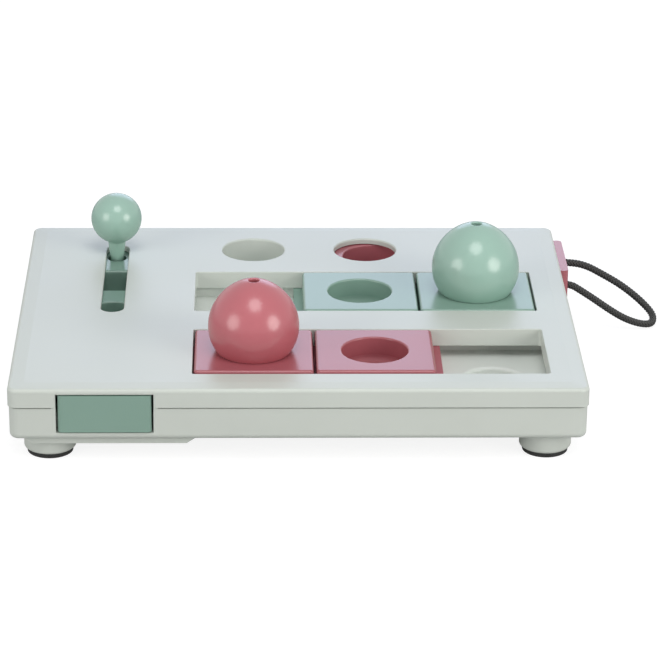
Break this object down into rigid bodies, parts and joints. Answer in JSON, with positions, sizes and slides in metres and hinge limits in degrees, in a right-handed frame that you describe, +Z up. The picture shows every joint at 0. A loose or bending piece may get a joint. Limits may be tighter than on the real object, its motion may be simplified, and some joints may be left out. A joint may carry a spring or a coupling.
{
  "type": "cat puzzle feeder",
  "caption": "Flat rectangular cat puzzle feeder with sliding treat covers, lift-off domes, a lever-operated front drawer and a side drawer on a cord loop.",
  "frame": {"origin": "on the floor under the middle of the whole length and width, with the side drawer a little open as it stands", "axes": "+Z up, +X along the long side to the side drawer with the cord, +Y to the back, away from the front drawer's face"},
  "size_m": [0.2997, 0.2, 0.0692],
  "materials": {
    "pale_shell": "fine satin moulding, bluish white",
    "pale_tray": "fine satin moulding, grey white",
    "pink_plastic": "satin dusty pink moulding",
    "pink_gloss": "semi-gloss dusty pink moulding",
    "green_plastic": "satin sage green moulding",
    "green_gloss": "semi-gloss sage green moulding",
    "foot_rubber": "matt black rubber",
    "screw_steel": "zinc-plated steel",
    "braided_cord": "braided round polyester cord"
  },
  "bodies": {
    "case": {"base_tray": "pale_shell", "well_tray": "pale_tray", "top_cover": "pale_shell", "foot_pad_front_left": "foot_rubber", "foot_pad_front_right": "foot_rubber", "foot_pad_rear_left": "foot_rubber", "foot_pad_rear_right": "foot_rubber", "case_screws": "screw_steel", "tray_screws": "screw_steel"},
    "front_left_cover": {"front_left_slider": "pink_plastic"},
    "front_right_cover": {"front_right_slider": "pink_plastic"},
    "rear_left_cover": {"rear_left_slider": "green_plastic"},
    "rear_right_cover": {"rear_right_slider": "green_plastic"},
    "pink_dome": {"front_dome": "pink_gloss"},
    "green_dome": {"rear_dome": "green_gloss"},
    "lever_drawer": {"front_drawer": "green_plastic", "lever": "green_gloss", "lever_screw": "screw_steel"},
    "cord_drawer": {"side_drawer": "pink_plastic", "pull_cord": "braided_cord", "cord_knots": "braided_cord"}
  },
  "joints": [
    {"name": "front_left_slide", "type": "slide", "parent": "case", "child": "front_left_cover", "axis": [1, 0, 0], "range_m": [0, 0.049]},
    {"name": "front_right_slide", "type": "slide", "parent": "case", "child": "front_right_cover", "axis": [1, 0, 0], "range_m": [0, 0.049]},
    {"name": "rear_right_slide", "type": "slide", "parent": "case", "child": "rear_right_cover", "axis": [-1, 0, 0], "range_m": [0, 0.049]},
    {"name": "rear_left_slide", "type": "slide", "parent": "case", "child": "rear_left_cover", "axis": [-1, 0, 0], "range_m": [0, 0.049]},
    {"name": "pink_dome_lift", "type": "slide", "parent": "front_left_cover", "child": "pink_dome", "axis": [0, 0, 1], "range_m": [0, 0.05]},
    {"name": "green_dome_lift", "type": "slide", "parent": "rear_right_cover", "child": "green_dome", "axis": [0, 0, 1], "range_m": [0, 0.05]},
    {"name": "lever_drawer_slide", "type": "slide", "parent": "case", "child": "lever_drawer", "axis": [0, -1, 0], "range_m": [0, 0.07]},
    {"name": "cord_drawer_slide", "type": "slide", "parent": "case", "child": "cord_drawer", "axis": [1, 0, 0], "range_m": [-0.0041, 0.1005]}
  ],
  "couplings": [
    {"joint": "front_right_slide", "follows": "front_left_slide", "ratio": 1},
    {"joint": "rear_left_slide", "follows": "rear_right_slide", "ratio": 1}
  ]
}
